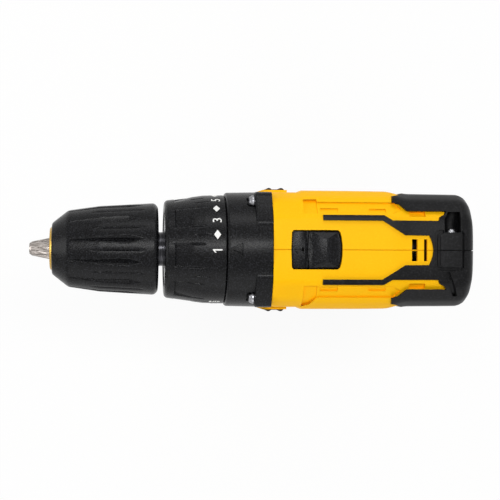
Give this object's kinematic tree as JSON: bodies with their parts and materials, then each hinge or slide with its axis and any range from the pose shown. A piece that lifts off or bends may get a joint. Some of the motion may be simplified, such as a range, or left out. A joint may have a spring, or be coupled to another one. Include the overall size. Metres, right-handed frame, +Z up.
{
  "type": "cordless drill driver",
  "caption": "Pistol-grip cordless drill driver: keyless chuck, torque collar, planetary gearbox, speed selector, trigger and slide-on battery.",
  "frame": {"origin": "middle of the footprint on the plane that the battery stands on", "axes": "+Z up along the handle; the spindle lies along X with the chuck towards -X; +Y is the tool's right-hand side"},
  "size_m": [0.2134, 0.0608, 0.2015],
  "materials": {
    "black_nylon": "moulded matte black nylon",
    "yellow_nylon": "moulded satin yellow nylon",
    "rubber_grip": "soft moulded rubber",
    "machined_steel": "ground steel",
    "blackened_steel": "blackened steel",
    "gear_steel": "sintered steel",
    "brass": "turned brass",
    "copper_winding": "copper wire and steel plates",
    "ferrite": "ferrite magnet",
    "carbon": "carbon brush",
    "lamp_lens": "clear lens",
    "cell_wrap": "wrapped steel cell",
    "grey_plastic": "grey plastic"
  },
  "bodies": {
    "housing": {"front_bearing": "machined_steel", "collar_retainer": "blackened_steel", "clutch_spring": "machined_steel", "clutch_pins": "machined_steel", "gear_case": "black_nylon", "case_screws": "machined_steel", "ring_gear_1": "gear_steel", "ring_gear_3": "gear_steel", "motor_plate": "blackened_steel", "motor_can": "blackened_steel", "motor_magnets": "ferrite", "motor_brushes": "carbon", "motor_end_cap": "black_nylon", "right_shell": "yellow_nylon", "left_shell": "yellow_nylon", "right_grip": "rubber_grip", "left_grip": "rubber_grip", "shell_screws": "machined_steel", "side_bumpers": "rubber_grip", "trigger_switch": "grey_plastic", "trigger_spring": "machined_steel", "work_lamp": "lamp_lens", "terminal_block": "black_nylon", "hook_inserts": "brass"},
    "spindle_group": {"spindle": "blackened_steel", "chuck_body": "blackened_steel", "nose_ring": "brass", "chuck_bearing": "machined_steel", "carrier_3": "gear_steel"},
    "sleeve_group": {"chuck_sleeve": "black_nylon", "chuck_nut": "gear_steel"},
    "jaw_body_1": {"jaw_1": "machined_steel"},
    "jaw_body_2": {"jaw_2": "machined_steel"},
    "jaw_body_3": {"jaw_3": "machined_steel"},
    "collar": {"torque_collar": "black_nylon"},
    "nut_body": {"clutch_nut": "blackened_steel"},
    "selector": {"speed_selector": "black_nylon", "shift_fork": "gear_steel", "ring_gear_2": "gear_steel"},
    "stage_1": {"carrier_1": "gear_steel"},
    "stage_2": {"carrier_2": "gear_steel"},
    "armature": {"motor_shaft": "machined_steel", "armature_core": "copper_winding", "motor_fan": "black_nylon"},
    "trigger_body": {"trigger": "black_nylon"},
    "lever_body": {"direction_lever": "black_nylon"},
    "battery": {"battery_tub": "black_nylon", "battery_lid": "black_nylon", "battery_cells": "cell_wrap", "battery_screws": "machined_steel"},
    "latch_body": {"battery_latch": "yellow_nylon"},
    "planet_body_1a": {"planet_1a": "gear_steel"},
    "planet_body_1b": {"planet_1b": "gear_steel"},
    "planet_body_1c": {"planet_1c": "gear_steel"},
    "planet_body_2a": {"planet_2a": "gear_steel"},
    "planet_body_2b": {"planet_2b": "gear_steel"},
    "planet_body_2c": {"planet_2c": "gear_steel"},
    "planet_body_3a": {"planet_3a": "gear_steel"},
    "planet_body_3b": {"planet_3b": "gear_steel"},
    "planet_body_3c": {"planet_3c": "gear_steel"}
  },
  "joints": [
    {"name": "spindle_spin", "type": "hinge", "parent": "housing", "child": "spindle_group", "pos_m": [0, 0, 0.172], "axis": [1, 0, 0], "continuous": true},
    {"name": "sleeve_turn", "type": "hinge", "parent": "spindle_group", "child": "sleeve_group", "pos_m": [0, 0, 0.172], "axis": [1, 0, 0], "range_deg": [0, 3600]},
    {"name": "jaw_1_slide", "type": "slide", "parent": "spindle_group", "child": "jaw_body_1", "axis": [0.9703, 0, 0.2419], "range_m": [0, 0.02377]},
    {"name": "jaw_2_slide", "type": "slide", "parent": "spindle_group", "child": "jaw_body_2", "axis": [0.9703, -0.2095, -0.121], "range_m": [0, 0.02377]},
    {"name": "jaw_3_slide", "type": "slide", "parent": "spindle_group", "child": "jaw_body_3", "axis": [0.9703, 0.2095, -0.121], "range_m": [0, 0.02377]},
    {"name": "collar_turn", "type": "hinge", "parent": "housing", "child": "collar", "pos_m": [0, 0, 0.172], "axis": [1, 0, 0], "range_deg": [0, 288]},
    {"name": "clutch_nut_slide", "type": "slide", "parent": "housing", "child": "nut_body", "axis": [1, 0, 0], "range_m": [0, 0.006], "deforming": ["clutch_spring"]},
    {"name": "selector_slide", "type": "slide", "parent": "housing", "child": "selector", "axis": [-1, 0, 0], "range_m": [0, 0.0074]},
    {"name": "stage_1_spin", "type": "hinge", "parent": "housing", "child": "stage_1", "pos_m": [0, 0, 0.172], "axis": [1, 0, 0], "continuous": true},
    {"name": "stage_2_spin", "type": "hinge", "parent": "housing", "child": "stage_2", "pos_m": [0, 0, 0.172], "axis": [1, 0, 0], "continuous": true},
    {"name": "armature_spin", "type": "hinge", "parent": "housing", "child": "armature", "pos_m": [0, 0, 0.172], "axis": [1, 0, 0], "continuous": true},
    {"name": "planet_1a_spin", "type": "hinge", "parent": "stage_1", "child": "planet_body_1a", "pos_m": [0, 0, 0.16], "axis": [1, 0, 0], "continuous": true},
    {"name": "planet_1b_spin", "type": "hinge", "parent": "stage_1", "child": "planet_body_1b", "pos_m": [0, 0.01039, 0.178], "axis": [1, 0, 0], "continuous": true},
    {"name": "planet_1c_spin", "type": "hinge", "parent": "stage_1", "child": "planet_body_1c", "pos_m": [0, -0.01039, 0.178], "axis": [1, 0, 0], "continuous": true},
    {"name": "planet_2a_spin", "type": "hinge", "parent": "stage_2", "child": "planet_body_2a", "pos_m": [0, 0, 0.15962], "axis": [1, 0, 0], "continuous": true},
    {"name": "planet_2b_spin", "type": "hinge", "parent": "stage_2", "child": "planet_body_2b", "pos_m": [0, 0.01072, 0.17819], "axis": [1, 0, 0], "continuous": true},
    {"name": "planet_2c_spin", "type": "hinge", "parent": "stage_2", "child": "planet_body_2c", "pos_m": [0, -0.01072, 0.17819], "axis": [1, 0, 0], "continuous": true},
    {"name": "planet_3a_spin", "type": "hinge", "parent": "spindle_group", "child": "planet_body_3a", "pos_m": [0, 0, 0.15962], "axis": [1, 0, 0], "continuous": true},
    {"name": "planet_3b_spin", "type": "hinge", "parent": "spindle_group", "child": "planet_body_3b", "pos_m": [0, 0.01072, 0.17819], "axis": [1, 0, 0], "continuous": true},
    {"name": "planet_3c_spin", "type": "hinge", "parent": "spindle_group", "child": "planet_body_3c", "pos_m": [0, -0.01072, 0.17819], "axis": [1, 0, 0], "continuous": true},
    {"name": "trigger_pull", "type": "slide", "parent": "housing", "child": "trigger_body", "axis": [1, 0, 0], "range_m": [0, 0.0065], "stiffness_N_per_m": 800, "springref_m": -0.004, "deforming": ["trigger_spring"]},
    {"name": "direction_slide", "type": "slide", "parent": "housing", "child": "lever_body", "axis": [0, 1, 0], "range_m": [-0.003, 0.003]},
    {"name": "battery_slide", "type": "slide", "parent": "housing", "child": "battery", "axis": [1, 0, 0], "range_m": [0, 0.08]},
    {"name": "latch_press", "type": "slide", "parent": "battery", "child": "latch_body", "axis": [0, 0, -1], "range_m": [0, 0.003], "stiffness_N_per_m": 600, "springref_m": -0.002}
  ],
  "couplings": [
    {"joint": "stage_2_spin", "follows": "spindle_spin", "ratio": 3.6667},
    {"joint": "stage_1_spin", "follows": "spindle_spin", "ratio": 13.444},
    {"joint": "armature_spin", "follows": "spindle_spin", "ratio": 53.778},
    {"joint": "planet_3a_spin", "follows": "spindle_spin", "ratio": -3.2},
    {"joint": "planet_3b_spin", "follows": "spindle_spin", "ratio": -3.2},
    {"joint": "planet_3c_spin", "follows": "spindle_spin", "ratio": -3.2},
    {"joint": "planet_2a_spin", "follows": "spindle_spin", "ratio": -11.733},
    {"joint": "planet_2b_spin", "follows": "spindle_spin", "ratio": -11.733},
    {"joint": "planet_2c_spin", "follows": "spindle_spin", "ratio": -11.733},
    {"joint": "planet_1a_spin", "follows": "spindle_spin", "ratio": -40.333},
    {"joint": "planet_1b_spin", "follows": "spindle_spin", "ratio": -40.333},
    {"joint": "planet_1c_spin", "follows": "spindle_spin", "ratio": -40.333},
    {"joint": "jaw_1_slide", "follows": "sleeve_turn", "m_per_rad": 0.00037824},
    {"joint": "jaw_2_slide", "follows": "sleeve_turn", "m_per_rad": 0.00037824},
    {"joint": "jaw_3_slide", "follows": "sleeve_turn", "m_per_rad": 0.00037824},
    {"joint": "clutch_nut_slide", "follows": "collar_turn", "m_per_rad": 0.0011935}
  ]
}
